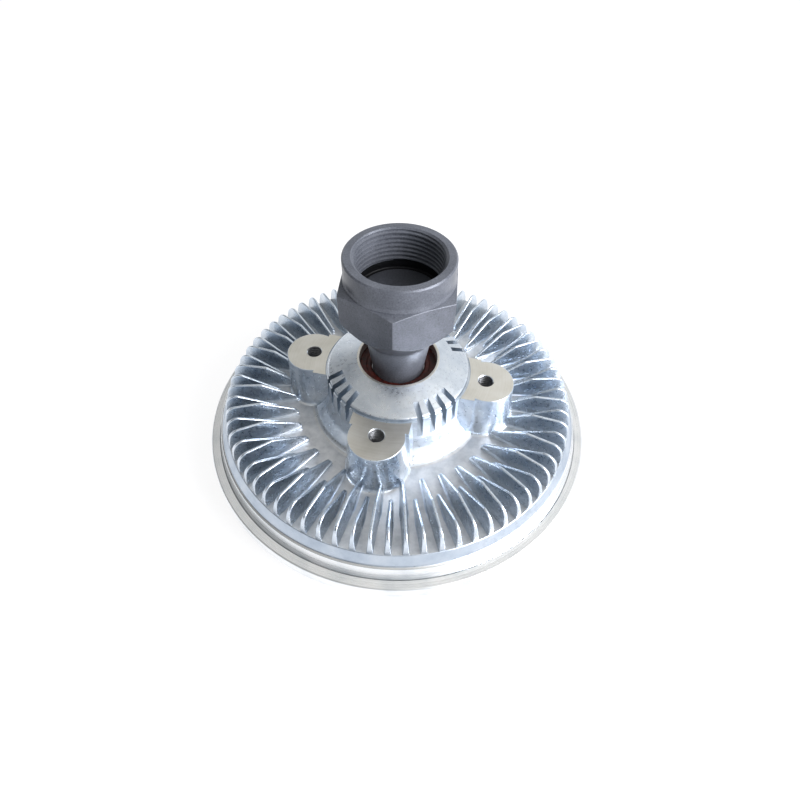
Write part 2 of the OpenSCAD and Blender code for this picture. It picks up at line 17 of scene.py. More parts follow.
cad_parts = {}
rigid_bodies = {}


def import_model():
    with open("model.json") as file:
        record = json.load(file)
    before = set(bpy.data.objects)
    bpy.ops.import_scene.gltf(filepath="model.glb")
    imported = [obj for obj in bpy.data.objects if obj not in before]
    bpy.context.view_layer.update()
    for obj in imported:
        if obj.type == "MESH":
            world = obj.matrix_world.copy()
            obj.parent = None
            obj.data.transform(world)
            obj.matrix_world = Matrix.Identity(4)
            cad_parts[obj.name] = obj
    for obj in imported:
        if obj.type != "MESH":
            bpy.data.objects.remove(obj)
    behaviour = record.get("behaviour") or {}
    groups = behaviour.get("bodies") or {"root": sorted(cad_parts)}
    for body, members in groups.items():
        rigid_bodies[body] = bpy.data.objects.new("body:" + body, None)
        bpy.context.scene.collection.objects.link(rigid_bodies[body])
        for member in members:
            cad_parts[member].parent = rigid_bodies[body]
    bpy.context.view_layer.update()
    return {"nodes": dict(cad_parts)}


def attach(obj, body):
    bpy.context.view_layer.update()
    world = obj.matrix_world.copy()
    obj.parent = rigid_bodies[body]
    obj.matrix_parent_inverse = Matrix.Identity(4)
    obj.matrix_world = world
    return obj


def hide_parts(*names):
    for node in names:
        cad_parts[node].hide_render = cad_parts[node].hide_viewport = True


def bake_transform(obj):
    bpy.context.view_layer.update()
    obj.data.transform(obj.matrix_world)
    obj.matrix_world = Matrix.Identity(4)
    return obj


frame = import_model()
MM = 0.001

# %% [markdown]
# ## Small tools
#
# Blender's operators act on all that is selected, and the loader leaves the CAD nodes
# selected. So each tool first selects one piece alone. A line is drawn as by hand: a plane
# is merged to a single vertex, and Extrude pulls it from point to point.

# %% Select one piece, and draw a line of edges
MERGE_MM = 0.002


def only(piece):
    """Object mode, with this one piece selected and active."""
    if bpy.context.mode != "OBJECT":
        bpy.ops.object.mode_set(mode="OBJECT")
    bpy.ops.object.select_all(action="DESELECT")
    if piece is not None:
        piece.select_set(True)
        bpy.context.view_layer.objects.active = piece


def drawn(name, points):
    """A new piece in edit mode: a line through points in millimetres."""
    only(None)
    bpy.ops.mesh.primitive_plane_add(size=MM)
    piece = bpy.context.object
    piece.name = piece.data.name = name
    bpy.ops.object.mode_set(mode="EDIT")
    bpy.ops.mesh.select_all(action="SELECT")
    bpy.ops.mesh.merge(type="CENTER")
    places = [Vector(p) * MM for p in points]
    bpy.ops.transform.translate(value=places[0])
    for a, b in zip(places, places[1:]):
        bpy.ops.mesh.extrude_region_move(TRANSFORM_OT_translate={"value": b - a})
    return piece


def merged():
    """In edit mode, merges vertices that lie on each other, and selects all."""
    bpy.ops.mesh.select_all(action="SELECT")
    bpy.ops.mesh.remove_doubles(threshold=MERGE_MM * MM)
    bpy.ops.mesh.select_all(action="SELECT")


def closed_up(piece):
    """Merges doubles, turns the faces outwards and goes back to object mode."""
    merged()
    bpy.ops.mesh.normals_make_consistent(inside=False)
    bpy.ops.object.mode_set(mode="OBJECT")
    return piece


print("selected by the loader:", len(bpy.context.selected_objects), "objects")

# %% [markdown]
# Most of this clutch is turned on a lathe or cast in a round die, so half a section and
# Spin give most of its shapes. A third number in a section's point rounds that corner,
# because a casting has no sharp inner corner and a turned edge is always broken.

# %% Round the corners of a section, and spin it
ARC_STEP = 15


def rounded(section):
    """Section points as (radius, height), with an arc where a third number gives one."""
    line = []
    for i, point in enumerate(section):
        if len(point) == 2:
            line.append(tuple(point))
            continue
        before = Vector(section[i - 1][:2])
        corner = Vector(point[:2])
        after = Vector(section[(i + 1) % len(section)][:2])
        u, v = (before - corner).normalized(), (after - corner).normalized()
        half = u.angle(v) / 2
        centre = corner + (u + v).normalized() * point[2] / math.sin(half)
        start = corner + u * point[2] / math.tan(half) - centre
        sweep = math.pi - 2 * half
        side = 1 if u.x * v.y - u.y * v.x < 0 else -1
        count = max(2, round(math.degrees(sweep) / ARC_STEP))
        for k in range(count + 1):
            a = side * sweep * k / count
            spot = Vector((start.x * math.cos(a) - start.y * math.sin(a),
                           start.x * math.sin(a) + start.y * math.cos(a)))
            line.append(tuple(centre + spot))
    return line


def turned(name, section, steps, ring=True):
    """A solid of revolution. A ring's section is closed; the other kind ends on the axis."""
    line = rounded(section)
    if ring:
        line.append(line[0])
    drawn(name, [(r, 0, z) for r, z in line])
    merged()
    bpy.ops.mesh.spin(steps=steps, angle=2 * math.pi, center=(0, 0, 0), axis=(0, 0, 1))
    return closed_up(bpy.context.object)


print("points on a rounded right angle:", len(rounded([(0, 0), (9, 0, 2), (9, 9)])) - 2)

# %% [markdown]
# Castings are joined from simple solids, and holes are cut out of them. A Boolean
# modifier does both. Its Manifold solver is quick and keeps a closed mesh closed.

# %% Join, cut and repeat
SOLVER = "MANIFOLD"


def combined(piece, tool, operation):
    """Applies a Boolean of the piece with the tool, and takes the tool away."""
    only(piece)
    boolean = piece.modifiers.new(operation, "BOOLEAN")
    boolean.operation = operation
    boolean.object = tool
    boolean.solver = SOLVER
    bpy.ops.object.modifier_apply(modifier=boolean.name)
    bpy.data.meshes.remove(tool.data)
    return piece


def ring_of(piece, turns):
    """Copies of a piece turned round the Z axis by these degrees, joined to one object."""
    copies = []
    for turn in turns:
        copy = piece.copy()
        copy.data = piece.data.copy()
        bpy.context.scene.collection.objects.link(copy)
        copy.rotation_euler.z = math.radians(turn)
        copies.append(copy)
    bpy.data.meshes.remove(piece.data)
    only(copies[0])
    for copy in copies:
        copy.select_set(True)
    bpy.ops.object.join()
    bpy.ops.object.transform_apply(location=False, rotation=True, scale=False)
    return copies[0]


def moved(piece, offset):
    """Moves a piece's mesh by millimetres, so that its object stays at the origin."""
    only(piece)
    bpy.ops.object.mode_set(mode="EDIT")
    bpy.ops.mesh.select_all(action="SELECT")
    bpy.ops.transform.translate(value=Vector(offset) * MM)
    bpy.ops.object.mode_set(mode="OBJECT")
    return piece


print("Boolean solver:", SOLVER)

# %% [markdown]
# ## Housing: the cast body
#
# The housing is one aluminium die casting: a rim, a valley floor that rises a little
# outwards, and a collar in the middle that holds the bearing. Its section carries on
# inside, with the bearing seat and the ring lands of the fluid chamber. All of that is
# round, so one section is spun.

# %% Spin the housing's section
FLOOR_IN, FLOOR_OUT = (43.0, 35.6), (85.6, 37.6)
SEAT_Z = 59.2
COLLAR_Z = 66.0
DOME_IN, DOME_OUT = (19.2, COLLAR_Z), (34, 60.38)
BEARING_R = 23.52
CHAMBER_Z = 31.6
LAND_COUNT, LAND_R, LAND_STEP, LAND_Z = 6, 52, 5, 25.8

lands = []
for k in reversed(range(LAND_COUNT)):
    land_r = LAND_R + LAND_STEP * k
    lands += [(land_r + 1, CHAMBER_Z), (land_r + 1, LAND_Z),
              (land_r - 1, LAND_Z), (land_r - 1, CHAMBER_Z)]

housing = turned("housing_casting", [
    (18.2, 61.5), (18.2, COLLAR_Z, 0.25), (*DOME_IN, 1), (*DOME_OUT, 2.5),
    (34.7, 46.6, 4), (36.6, 41.6, 8), (41.4, 35.6, 5), FLOOR_IN, (*FLOOR_OUT, 0.6),
    (88.2, 32.6, 1.6), (89.4, 32.3, 0.5), (91.25, 25.9), (91.98, 24.7),
    (91.98, 23), (83.5, 23), (83.5, CHAMBER_Z), *lands, (40, CHAMBER_Z), (30, 37.2),
    (BEARING_R, 37.2), (BEARING_R, 39.2), (24.7, 39.2), (24.7, 40.9), (BEARING_R, 40.9),
    (BEARING_R, 61.5),
], steps=144)
print("housing body:", len(housing.data.polygons), "faces")

# %% [markdown]
# ## Housing: the cooling fins
#
# Seventy-two fins throw the heat of the fluid into the air, long and short ones in turn.
# A cast fin leans a little on both sides so that it leaves the die, and its top edge stays
# equally thin from end to end. So a wedge-shaped section is filled and extruded along the
# rising edge first, then along the level one. Bisect cuts the ends, the round corner and the
# underside. The rims of the cuts are bevelled, because it is that narrow round edge that
# catches the light. At last the underside is extruded and scaled to a flared foot, which
# is the fillet between fin and floor.

# %% One fin, lying along X
def select_where(piece, kind, test):
    """In edit mode, selects those edges or faces of a piece for which test is true."""
    mesh = bmesh.from_edit_mesh(piece.data)
    for item in getattr(mesh, kind):
        item.select = test(item)
    bmesh.update_edit_mesh(piece.data)


def looks_down(face):
    """True for an underside."""
    return face.normal.z < -0.9


def fin(name, top, tip, lean, deep, cuts, under, flare):
    """A fin below the line top of (x, z) points. tip is half its width there, and lean
    widens it downwards. cuts and under are planes as ((x, z), angle), and flare has the
    steps of the foot as (drop, longer, wider)."""
    low = tip + lean * deep
    (x, z), *rest = top
    piece = drawn(name, [(x, -tip, z), (x, tip, z), (x, low, z - deep), (x, -low, z - deep),
                         (x, -tip, z)])
    merged()
    bpy.ops.mesh.edge_face_add()
    for x_to, z_to in rest:
        bpy.ops.mesh.extrude_region_move(
            TRANSFORM_OT_translate={"value": ((x_to - x) * MM, 0, (z_to - z) * MM)})
        x, z = x_to, z_to
    for (x, z), angle in [*cuts, under]:
        a = math.radians(angle)
        bpy.ops.mesh.select_all(action="SELECT")
        bpy.ops.mesh.bisect(plane_co=(x * MM, 0, z * MM), plane_no=(math.sin(a), 0, math.cos(a)),
                            use_fill=True, clear_outer=True, threshold=1e-7)
    bpy.ops.mesh.select_all(action="SELECT")
    bpy.ops.mesh.normals_make_consistent(inside=False)
    bpy.ops.mesh.select_mode(type="EDGE")
    bpy.ops.mesh.select_all(action="DESELECT")
    bpy.ops.mesh.edges_select_sharp(sharpness=math.radians(48))
    select_where(piece, "edges",
                 lambda edge: edge.select and not any(map(looks_down, edge.link_faces)))
    bpy.ops.mesh.bevel(offset=0.8 * tip * MM, segments=4, affect="EDGES", clamp_overlap=True)
    bpy.ops.mesh.select_mode(type="FACE")
    bpy.ops.mesh.select_all(action="DESELECT")
    select_where(piece, "faces", looks_down)
    for drop, long, wide in flare:
        bpy.ops.mesh.extrude_region_move(TRANSFORM_OT_translate={"value": (0, 0, -drop * MM)})
        bpy.ops.transform.resize(value=(long, wide, 1), center_override=(under[0][0] * MM, 0, 0))
    bpy.ops.mesh.select_mode(type="VERT")
    return closed_up(piece)


# %% The outline of the housing's fins
FIN_Z, FIN_RISE, FIN_OUT = 48.0, 27.6, 85.3
FIN_TIP, FIN_LEAN, FIN_DEEP = 0.6, 0.084, 14.0
NOSE_R, CORNER_R = 2.4, 6
CORNER_ANGLES = (15, 30, 45, 60, 75)
FOOT_FLARE = [(0.4, 1.006, 1.05), (0.3, 1.01, 1.12), (0.25, 1.02, 1.25), (1.4, 1.0, 1.0)]
floor_tilt = math.atan2(FLOOR_OUT[1] - FLOOR_IN[1], FLOOR_OUT[0] - FLOOR_IN[0])


def corner_cuts(x, z, r, angles):
    """Planes that round an outer corner: tangents of the arc of radius r about (x, z)."""
    return [((x + r * math.sin(math.radians(a)), z + r * math.cos(math.radians(a))), a)
            for a in angles]


def housing_fin(name, r_in, knee_r):
    """A fin that starts at the radius r_in, rises to knee_r and is level from there on."""
    rise = math.tan(math.radians(FIN_RISE))
    inner_z = FIN_Z - (knee_r - r_in) * rise
    middle = (r_in + FIN_OUT) / 2
    floor_z = FLOOR_IN[1] + (middle - FLOOR_IN[0]) * math.tan(floor_tilt)
    nose = corner_cuts(r_in + NOSE_R, inner_z - 1.45, NOSE_R, (-48, -69))
    knee = ((knee_r, FIN_Z - 0.12), -FIN_RISE / 2)
    outer = corner_cuts(78.6, FIN_Z - CORNER_R, CORNER_R, CORNER_ANGLES)
    return fin(name, [(r_in, inner_z), (knee_r, FIN_Z), (FIN_OUT, FIN_Z)],
               FIN_TIP, FIN_LEAN, FIN_DEEP, [knee, *outer, *nose],
               ((middle, floor_z + 0.9), 180 + math.degrees(floor_tilt)), FOOT_FLARE)


print("tilt of the valley floor:", round(math.degrees(floor_tilt), 2), "degrees")

# %% Make the two kinds of fin and repeat them
BOLT_TURN = -12.1
FIN_COUNT, FIN_STEP = 36, 10
long_fin = housing_fin("long_fin", r_in=51.0, knee_r=67.0)
short_fin = housing_fin("short_fin", r_in=59.8, knee_r=78.0)
print("faces of a long fin:", len(long_fin.data.polygons))
fin_turns = [BOLT_TURN + FIN_STEP * k for k in range(FIN_COUNT)]
between = [BOLT_TURN + FIN_STEP / 2 + FIN_STEP * k for k in range(FIN_COUNT)]
housing = combined(housing, ring_of(long_fin, between), "UNION")
housing = combined(housing, ring_of(short_fin, fin_turns), "UNION")
print("housing with fins:", len(housing.data.polygons), "faces")

# %% [markdown]
# ## Housing: fan bosses
#
# Four bosses carry the fan. Each is a round pillar with draft, and a web slightly wider than
# the pillar ties it to the collar, which leaves a fine step down its side. The pillar is spun
# about its own axis with the foot fillet in its section. Its lowest rings are then tilted to
# lie on the sloping floor. The tool that faced the four seats stopped at the collar's
# shoulder and left a fine groove there, which a thin ring cuts.

# %% Model one pillar
BOSS_R, BOSS_AT = 12.5, 42.5
FOOT_Z = 40
pillar = turned("boss_pillar", [
    (0, SEAT_Z), (BOSS_R, SEAT_Z, 0.25), (14.1, 36.1, 1.8), (17, 35.55), (17, 33.8), (0, 33.8),
], steps=64, ring=False)
moved(pillar, (BOSS_AT, 0, 0))
only(pillar)
bpy.ops.object.mode_set(mode="EDIT")
bpy.ops.mesh.select_all(action="DESELECT")
mesh = bmesh.from_edit_mesh(pillar.data)
for vertex in mesh.verts:
    vertex.select = vertex.co.z < FOOT_Z * MM
mesh.select_flush(True)
bmesh.update_edit_mesh(pillar.data)
bpy.ops.transform.rotate(value=floor_tilt, orient_axis="Y",
                         center_override=(BOSS_AT * MM, 0, FLOOR_IN[1] * MM))
bpy.ops.object.mode_set(mode="OBJECT")
print("pillar:", len(pillar.data.polygons), "faces")

# %% Model one web
WEB_IN, WEB_OUT, WEB_HALF, WEB_LOW = 25.0, 38.4, 13.3, 34.6
WEB_FLARE = 1.13


def block(name, low, high):
    """A box between two corners in millimetres."""
    only(None)
    middle = [(a + b) / 2 * MM for a, b in zip(low, high)]
    sides = [(b - a) * MM for a, b in zip(low, high)]
    bpy.ops.mesh.primitive_cube_add(size=1, location=middle, scale=sides)
    bpy.ops.object.transform_apply(location=True, rotation=False, scale=True)
    bpy.context.object.name = name
    return bpy.context.object


def upright(edge):
    """True for an edge that rises by more than 5 mm."""
    a, b = (v.co for v in edge.verts)
    return abs(a.z - b.z) > 5 * MM


web = block("boss_web", (WEB_IN, -WEB_HALF, WEB_LOW), (WEB_OUT, WEB_HALF, SEAT_Z))
bpy.ops.object.mode_set(mode="EDIT")
select_where(web, "faces", looks_down)
bpy.ops.transform.resize(value=(1, WEB_FLARE, 1), center_override=(0, 0, 0))
bpy.ops.mesh.select_all(action="DESELECT")
select_where(web, "edges",
             lambda edge: upright(edge) and min(v.co.x for v in edge.verts) > 30 * MM)
bpy.ops.mesh.bevel(offset=0.6 * MM, segments=3, affect="EDGES")
bpy.ops.object.mode_set(mode="OBJECT")
print("web:", len(web.data.polygons), "faces")

# %% Join four of each to the housing, and cut the groove
boss_turns = [BOLT_TURN + 90 * k for k in range(4)]
housing = combined(housing, ring_of(web, boss_turns), "UNION")
housing = combined(housing, ring_of(pillar, boss_turns), "UNION")
stop_groove = turned("stop_groove", [
    (33.3, 61.5), (34.7, 61.5), (34.5, SEAT_Z), (34.3, 58.8, 0.1), (33.5, 58.8, 0.1),
    (33.3, SEAT_Z),
], steps=144)
housing = combined(housing, stop_groove, "DIFFERENCE")
print("housing with bosses:", len(housing.data.polygons), "faces")

# %% [markdown]
# ## Housing: flutes and tapped holes
#
# Between the bosses the collar's shoulder has flutes that run out down its wall. A box with
# a round inner end, leant outwards, cuts each of them. The four fan screws go into tapped
# holes. A thread is cut as a lathe cuts it: a V shaped tool is swept along a helix with the
# Screw modifier and taken away from the wall of the bore.

# %% Cut the flutes
FLUTE_W, FLUTE_AT = 2.6, 28.8
FLUTE_LEAN = math.radians(28.3)
FLUTE_COUNT, FLUTE_STEP = 4, 10.4
flute = block("flute_tool", (0, -FLUTE_W / 2, -17.2), (12, FLUTE_W / 2, 14.0))
bpy.ops.object.mode_set(mode="EDIT")
bpy.ops.mesh.select_all(action="DESELECT")
select_where(flute, "edges",
             lambda edge: upright(edge) and max(v.co.x for v in edge.verts) < MM)
bpy.ops.mesh.bevel(offset=(FLUTE_W / 2 - 0.02) * MM, segments=6, affect="EDGES")
bpy.ops.mesh.select_all(action="SELECT")
bpy.ops.transform.rotate(value=FLUTE_LEAN, orient_axis="Y", center_override=(0, 0, 0))
bpy.ops.object.mode_set(mode="OBJECT")
moved(flute, (FLUTE_AT, 0, SEAT_Z))
flute_turns = [turn + 45 + FLUTE_STEP * (j - 1.5)
               for turn in boss_turns for j in range(FLUTE_COUNT)]
housing = combined(housing, ring_of(flute, flute_turns), "DIFFERENCE")
print("flutes:", len(flute_turns))


# %% Cut the holes and their threads
def thread_tool(name, r_base, r_tip, pitch, turns, z, steps):
    """A V shaped ridge along a helix, closed at both ends."""
    base, tip = 0.46 * pitch, 0.06 * pitch
    piece = drawn(name, [(r_base, 0, z - base), (r_tip, 0, z - tip), (r_tip, 0, z + tip),
                         (r_base, 0, z + base), (r_base, 0, z - base)])
    merged()
    only(piece)
    screw = piece.modifiers.new("helix", "SCREW")
    screw.axis = "Z"
    screw.angle = 2 * math.pi
    screw.screw_offset = pitch * MM
    screw.iterations = turns
    screw.steps = screw.render_steps = steps
    bpy.ops.object.modifier_apply(modifier=screw.name)
    bpy.ops.object.mode_set(mode="EDIT")
    merged()
    bpy.ops.mesh.fill_holes(sides=4)
    return closed_up(piece)


BOLT_AT = 41.9
hole = turned("hole_tool", [(0, 60.0), (4.5, 60.0), (3.4, 58.9), (3.4, 39.2), (0, 37.3)],
              steps=32, ring=False)
moved(hole, (BOLT_AT, 0, 0))
housing = combined(housing, ring_of(hole, boss_turns), "DIFFERENCE")
groove = thread_tool("hole_thread", r_base=3.2, r_tip=4.0, pitch=1.25, turns=10, z=46.6, steps=24)
moved(groove, (BOLT_AT, 0, 0))
housing = combined(housing, ring_of(groove, boss_turns), "DIFFERENCE")
print("housing finished:", len(housing.data.polygons), "faces")

# %% [markdown]
# ## Hub
#
# The hub is one steel forging: a bearing shaft, a taper and a hexagon nut with an inside
# thread. Where the round taper meets the six flats it leaves curved edges. That shape comes
# by itself when the turned blank is intersected with a hexagon, just as it does when the
# flats are milled. Then the edges are bevelled a little, so that they catch light.

# %% Intersect the turned blank with a hexagon
NUT_TURN = -95.0
NUT_AF = 46.5
HEX_TOP = 110.8
hub = turned("hub_forging", [
    (0, HEX_TOP), (22.65, HEX_TOP), (27.85, 109.5), (27.85, 97.55), (15, 81.5, 6), (12.2, 62, 3),
    (12.2, 59.9), (10, 59.9), (10, 21.5), (8.6, 21.5), (8.6, 20.2), (10, 20.2), (10, 19.6),
    (9.2, 18.8), (0, 18.8),
], steps=132, ring=False)
only(None)
bpy.ops.mesh.primitive_cylinder_add(
    vertices=6, radius=NUT_AF / 2 / math.cos(math.pi / 6) * MM, depth=110 * MM,
    location=(0, 0, 65 * MM), rotation=(0, 0, math.radians(NUT_TURN + 90)))
hexagon = bpy.context.object
bpy.ops.object.transform_apply(location=True, rotation=True, scale=True)
corner_turns = sorted(round(math.degrees(math.atan2(v.co.y, v.co.x)))
                      for v in hexagon.data.vertices)
print("hexagon corners at", corner_turns)
hub = combined(hub, hexagon, "INTERSECT")

# %% Bevel the edges of the nut
flat_r = (NUT_AF / 2 - 0.1) * MM
only(hub)
bpy.ops.object.mode_set(mode="EDIT")
bpy.ops.mesh.select_mode(type="EDGE")
bpy.ops.mesh.select_all(action="DESELECT")
bpy.ops.mesh.edges_select_sharp(sharpness=math.radians(14))
select_where(hub, "edges",
             lambda edge: edge.select and min(v.co.xy.length for v in edge.verts) >= flat_r)
bpy.ops.mesh.bevel(offset=0.45 * MM, segments=3, affect="EDGES", clamp_overlap=True)
bpy.ops.mesh.select_mode(type="VERT")
closed_up(hub)
print("forging:", len(hub.data.polygons), "faces")

# %% [markdown]
# A round collar ends the nut. Its socket has a wider relief at the bottom, where the tool
# that cut the thread ran out. Both are turned, so both are spun, and the same tool as for
# the fan holes cuts the thread.

# %% Add the collar, cut the socket and its thread
NUT_Z = 121.0
collar = turned("nut_collar", [
    (0, HEX_TOP - 1), (23, HEX_TOP - 1), (23, HEX_TOP + 0.3, 0.3), (22.6, HEX_TOP + 1.7, 1.5),
    (22.6, NUT_Z - 0.6, 0.3), (22, NUT_Z, 0.3), (0, NUT_Z),
], steps=132, ring=False)
hub = combined(hub, collar, "UNION")
socket = turned("socket_tool", [
    (0, NUT_Z + 1), (20.12, NUT_Z + 1), (17.92, 119.8), (17.92, 105.8), (19.3, 105.5, 0.3),
    (19.3, 101.3, 0.6), (17.4, 101.3, 0.3), (17.2, 102, 0.25), (0, 102),
], steps=132, ring=False)
hub = combined(hub, socket, "DIFFERENCE")
groove = thread_tool("hub_thread", r_base=17.6, r_tip=19.0, pitch=2.0, turns=8, z=105.4, steps=88)
hub = combined(hub, groove, "DIFFERENCE")
print("hub finished:", len(hub.data.polygons), "faces")

# %% [markdown]
# ## Bearing seal
#
# Between neck and collar a red-brown rubber seal keeps dirt out of the bearing. It is a flat
# ring with a thicker lip at the neck and a bead at the outside, so a small section is spun.

# %% Spin the seal
seal = turned("bearing_seal", [
    (12.45, 60.35), (20.48, 60.3), (20.48, 61.3, 0.2), (18.9, 61.3, 0.2), (18.3, 60.95, 0.3),
    (15.2, 60.95, 0.3), (14.6, 61.3, 0.25), (13.2, 61.3, 0.25), (12.45, 60.8),
], steps=96)
print("seal:", len(seal.data.polygons), "faces")

# %% [markdown]
# ## Front cover
#
# The clutch stands on its cover. Only the rolled lip shows from above, but from the side and
# below one sees its 36 fins. They are built like the housing's fins and turned upside down.
# A core takes away what would reach into the fluid chamber, and then they are joined to the skin.

# %% Make the cover's fins
COVER_FIN_Z = 18.4
cover_fin = fin("cover_fin", [(34.2, COVER_FIN_Z), (91.8, COVER_FIN_Z)], tip=1.2, lean=0.027,
                deep=19.0, cuts=corner_cuts(82.8, 9.4, 9, CORNER_ANGLES),
                under=((63, 0.4), 180), flare=[])
only(cover_fin)
bpy.ops.object.mode_set(mode="EDIT")
bpy.ops.mesh.select_all(action="SELECT")
bpy.ops.transform.rotate(value=math.pi, orient_axis="X",
                         center_override=(0, 0, COVER_FIN_Z / 2 * MM))
bpy.ops.object.mode_set(mode="OBJECT")
cover_fins = ring_of(cover_fin, fin_turns)
core = turned("chamber_core", [
    (0, 7), (69.9, 7), (72, 15.1), (84.5, 15.1), (87.5, 20), (92.5, 20), (92.5, 30), (0, 30),
], steps=144, ring=False)
cover_fins = combined(cover_fins, core, "DIFFERENCE")
print("cover fins:", len(cover_fins.data.polygons), "faces")

# %% Spin the cover's skin and join the fins
cover = turned("front_cover_casting", [
    (0, 14), (30, 14), (36.5, 9), (67, 9), (69, 17.1), (80.25, 17.1), (80.25, 18.9),
    (83.5, 18.9), (83.5, 23), (92, 23), (92, 24.7), (91.35, 26, 0.15), (95.8, 26, 1.1),
    (95.8, 18, 1.1), (87.5, 18, 1.6), (84, 13.1, 1.2), (73, 13.1, 1.2), (71, 5, 1.6),
    (36.5, 5, 1.2), (36.5, 0, 0.6), (33, 0, 0.6), (33, 10, 0.8), (0, 10),
], steps=180, ring=False)
cover = combined(cover, cover_fins, "UNION")
print("cover with fins:", len(cover.data.polygons), "faces")

# %% [markdown]
# The cover carries the valve's bore in a boss, a groove for the ring seal and six rivet
# holes. A slotted post in the well holds the coil's outer end.

# %% Add the boss and the post, and cut the holes
boss = turned("valve_boss", [(0, 8.8), (9, 8.8, 0.5), (9, 14.6, 0.3), (0, 14.6)],
              steps=48, ring=False)
bore = turned("valve_bore", [(0, 8), (6.02, 8), (6.02, 11.8), (4.05, 11.8), (4.05, 15), (0, 15)],
              steps=48, ring=False)
seal_groove = turned("seal_groove", [(86.17, 21.1), (88.33, 21.1), (88.33, 24), (86.17, 24)],
                     steps=144)
rivet_hole = turned("rivet_hole", [(0, 14.1), (1.52, 14.1), (1.52, 18.1), (0, 18.1)],
                    steps=24, ring=False)
moved(rivet_hole, (75, 0, 0))
cover = combined(cover, boss, "UNION")
cover = combined(cover, bore, "DIFFERENCE")
cover = combined(cover, seal_groove, "DIFFERENCE")
cover = combined(cover, ring_of(rivet_hole, [60 * k for k in range(6)]), "DIFFERENCE")
post = block("coil_post", (27, -3.45, 1.4), (34, 2.55, 10.5))
post = combined(post, block("coil_slot", (26, -1.0, 0.4), (31.2, 0.1, 8.5)), "DIFFERENCE")
cover = combined(cover, post, "UNION")
print("cover finished:", len(cover.data.polygons), "faces")

# %% [markdown]
# ## Bimetal coil
#
# The coil's outer end is held in the cover's post. Its inner end sits in the slot of the valve
# shaft and turns with it, by up to 32 degrees. So the strip is made in three pieces: a tab on
# the valve, an inner half turn between the two bodies, and the other turns on the
# cover. A line is drawn flat and pulled up, and the Solidify modifier gives it thickness.

# %% Draw the strip of the coil
STRIP_T = 0.9
COIL_LOW, COIL_HIGH = 1.4, 8.4
COIL_R = 6.95
COIL_STEP = 1.5
TAB_TURN = 12


def strip(name, line):
    """A standing strip of sheet along a line of points in millimetres."""
    piece = drawn(name, [(x, y, COIL_LOW) for x, y in line])
    bpy.ops.mesh.select_all(action="SELECT")
    bpy.ops.mesh.extrude_region_move(
        TRANSFORM_OT_translate={"value": (0, 0, (COIL_HIGH - COIL_LOW) * MM)})
    only(piece)
    sheet = piece.modifiers.new("thickness", "SOLIDIFY")
    sheet.thickness = STRIP_T * MM
    sheet.offset = 0
    edge = piece.modifiers.new("edge", "BEVEL")
    edge.width = 0.14 * MM
    edge.segments = 2
    edge.limit_method = "ANGLE"
    edge.angle_limit = math.radians(40)
    bpy.ops.object.modifier_apply(modifier=sheet.name)
    bpy.ops.object.modifier_apply(modifier=edge.name)
    bpy.ops.object.mode_set(mode="EDIT")
    return closed_up(piece)


def half_turn(k, first=0, last=180):
    """Half a turn of the spiral: each one has the next centre and a larger radius."""
    centre, radius = COIL_STEP * (k % 2), COIL_R + COIL_STEP * k
    angles = [math.radians(180 * k + a) for a in range(first, last + 1, 6)]
    return [(centre + radius * math.cos(a), radius * math.sin(a)) for a in angles]


tab_end = half_turn(0, TAB_TURN)[0]
coil_tab = strip("coil_tab", rounded([(-3.8, 0), (COIL_R - 0.1, 0, 1), tab_end]))
coil_inner = strip("coil_inner_turn", half_turn(0, TAB_TURN))
spiral = [spot for k in range(1, 11) for spot in half_turn(k)[:-1]] + half_turn(11, 0, 174)
outer_r = COIL_R + 12 * COIL_STEP
outer_end = rounded([spiral[-1], (outer_r, -0.45, 1), (30.6, -0.45)])
coil_turns = strip("coil_turns", spiral[:-1] + outer_end)
print("coil:", [len(piece.data.polygons) for piece in (coil_tab, coil_inner, coil_turns)], "faces")

# %% [markdown]
# ## Finishes
#
# Every finish starts from the real material and how its surface was made. Colours are
# written as sRGB hex values, which one function turns to the linear values that Blender
# computes with. One more function adds a node with its settings and links. Patterns read
# Object coordinates, in metres, so a scale is worked out from a size in millimetres.

# %% Colours and nodes
def linear(code):
    """An sRGB hex colour as linear RGBA."""
    parts = [int(code[i:i + 2], 16) / 255 for i in (1, 3, 5)]
    return tuple(c / 12.92 if c <= 0.04045 else ((c + 0.055) / 1.055) ** 2.4
                 for c in parts) + (1.0,)


def add(tree, kind, links=(), values=(), stops=(), **settings):
    """Adds a node. links gives (input, source node, output), values gives (input, value),
    and stops gives the (position, hex) colours of a ramp."""
    node = tree.nodes.new(kind)
    for key, value in settings.items():
        setattr(node, key, value)
    for socket, value in values:
        node.inputs[socket].default_value = value
    for socket, source, output in links:
        tree.links.new(source.outputs[output], node.inputs[socket])
    for _ in stops[2:]:
        node.color_ramp.elements.new(0.5)
    for i, (position, code) in enumerate(stops):
        node.color_ramp.elements[i].position = position
        node.color_ramp.elements[i].color = linear(code)
    return node


print("middle grey in linear light:", round(linear("#808080")[0], 3))


# %% Start a finish, and give it a skin
def per_mm(size):
    """The texture scale at which one cell is this many millimetres wide."""
    return 1.0 / (size * MM)


def finish_of(name, metallic, roughness, **sockets):
    """A new material with its Principled shader's constant values set."""
    material = bpy.data.materials.new(name)
    material.use_nodes = True
    tree = material.node_tree
    shader = tree.nodes["Principled BSDF"]
    shader.inputs["Metallic"].default_value = metallic
    shader.inputs["Roughness"].default_value = roughness
    for key, value in sockets.items():
        shader.inputs[key.replace("_", " ")].default_value = value
    place = add(tree, "ShaderNodeTexCoord")
    return material, tree, shader, place


